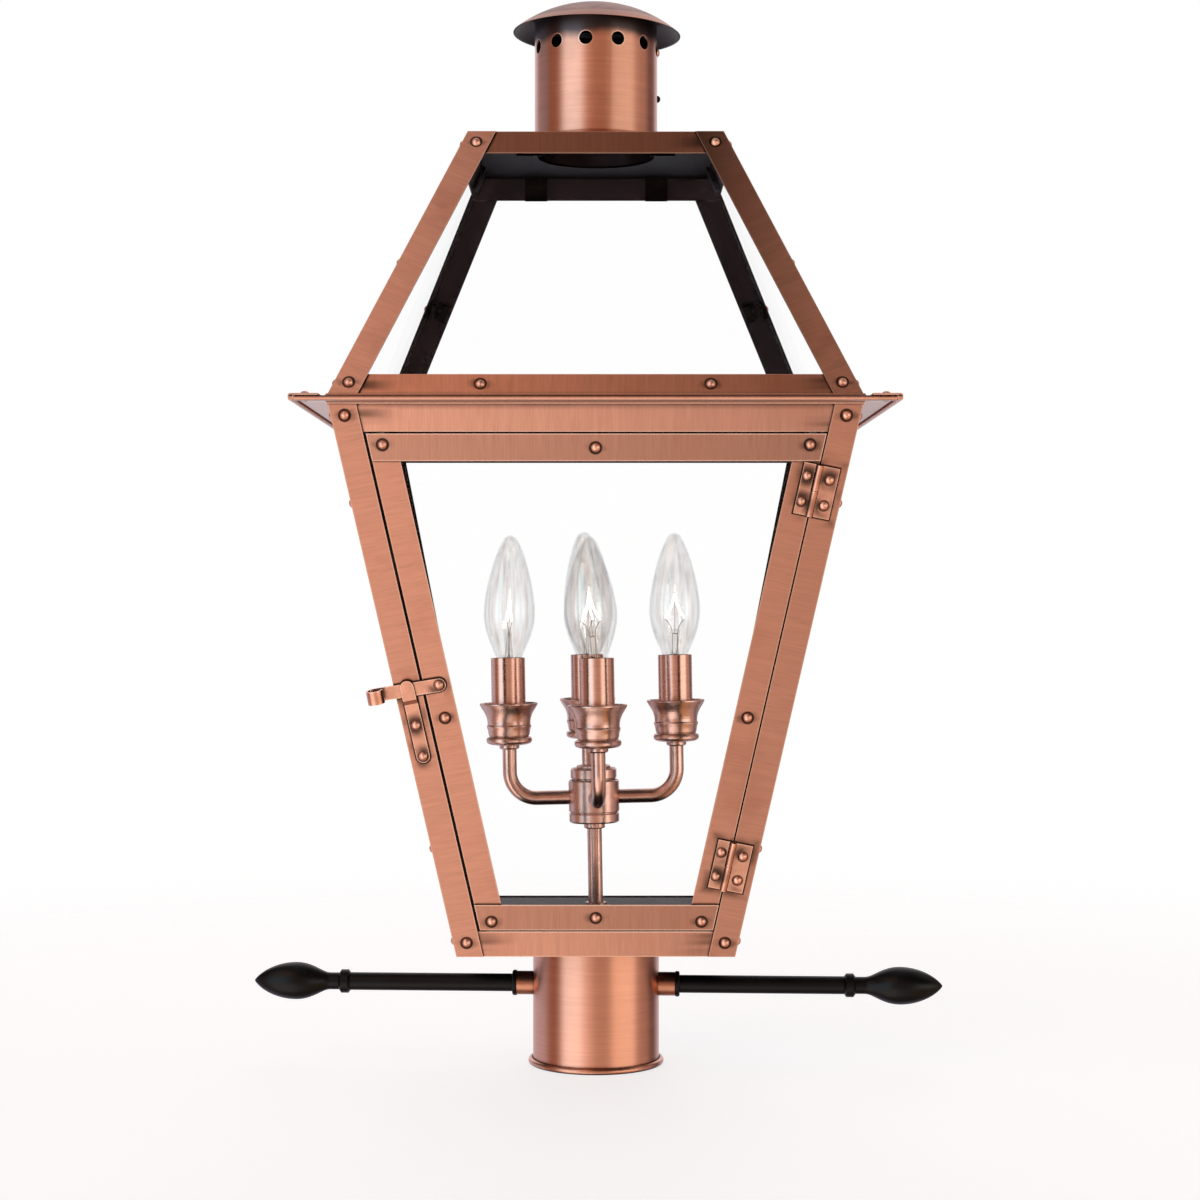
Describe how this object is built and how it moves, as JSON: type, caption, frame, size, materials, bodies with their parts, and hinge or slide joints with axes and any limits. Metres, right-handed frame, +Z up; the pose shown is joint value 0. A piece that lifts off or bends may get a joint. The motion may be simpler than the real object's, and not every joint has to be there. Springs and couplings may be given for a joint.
{
  "type": "outdoor post lantern",
  "caption": "Flared square copper lantern for a post, with a glazed roof, vented chimney, hinged and latched glass door, ladder rest and a cluster of candle lamps.",
  "frame": {"origin": "centre of the fitter's lower mouth, on the lantern's upright axis", "axes": "+Z up to the rain cap; -Y is the front, where the door is; +X to the right, where the door's hinges are"},
  "size_m": [0.4398, 0.348, 0.6766],
  "materials": {
    "copper": "aged brushed copper, satin, with dark patina at the rivets",
    "dark_copper": "dark aged copper, satin",
    "blackened_copper": "blackened copper, dull",
    "black_paint": "black, satin",
    "pane_glass": "clear, polished",
    "bulb_glass": "clear, polished",
    "brass": "satin",
    "socket_plastic": "matte",
    "filament": "glowing white"
  },
  "bodies": {
    "lantern": {"post_fitter": "copper", "set_screws": "dark_copper", "ladder_sockets": "copper", "ladder_rings": "black_paint", "ladder_rods": "black_paint", "ladder_finials": "black_paint", "bottom_pan": "blackened_copper", "floor_tray": "blackened_copper", "corner_post_front_right": "copper", "corner_post_rear_right": "copper", "corner_post_rear_left": "copper", "corner_post_front_left": "copper", "body_foot_rails": "copper", "body_head_rails": "copper", "body_glass_right": "pane_glass", "body_glass_rear": "pane_glass", "body_glass_left": "pane_glass", "eave_front_and_rear": "copper", "eave_sides": "copper", "hip_front_right": "copper", "hip_rear_right": "copper", "hip_rear_left": "copper", "hip_front_left": "copper", "roof_base_rails": "dark_copper", "roof_top_rails": "dark_copper", "roof_glass_front": "pane_glass", "roof_glass_right": "pane_glass", "roof_glass_rear": "pane_glass", "roof_glass_left": "pane_glass", "glass_clips": "blackened_copper", "frame_rivets": "copper", "roof_plate": "blackened_copper", "chimney": "copper", "chimney_foot_ring": "dark_copper", "chimney_screw": "blackened_copper", "rain_cap": "copper", "cap_bracket": "blackened_copper", "stem": "copper", "stem_flange": "copper", "hub_cover": "copper", "hub": "copper", "hub_cap": "copper", "candle_arms": "copper", "candle_cups": "copper", "candle_sleeves": "copper", "lamp_sockets": "socket_plastic", "bulb_bases": "brass", "bulb_glass": "bulb_glass", "bulb_filaments": "filament", "hinge_post_leaves": "copper", "hinge_pins": "dark_copper", "latch_keeper": "copper"},
    "door": {"door_rails": "copper", "door_stiles": "copper", "door_glass": "pane_glass", "door_clips": "blackened_copper", "door_rivets": "copper", "hinge_door_leaves": "copper", "latch_pivot": "copper"},
    "latch": {"latch_lever": "copper"}
  },
  "joints": [
    {"name": "door_hinge", "type": "hinge", "parent": "lantern", "child": "door", "pos_m": [0.12654, -0.14534, 0.35867], "axis": [0.2029, -0.2029, 0.9579], "range_deg": [0, 110]},
    {"name": "latch_pivot", "type": "hinge", "parent": "door", "child": "latch", "pos_m": [-0.09217, -0.11932, 0.246], "axis": [0, 0.9783, 0.2072], "range_deg": [0, 82]}
  ]
}
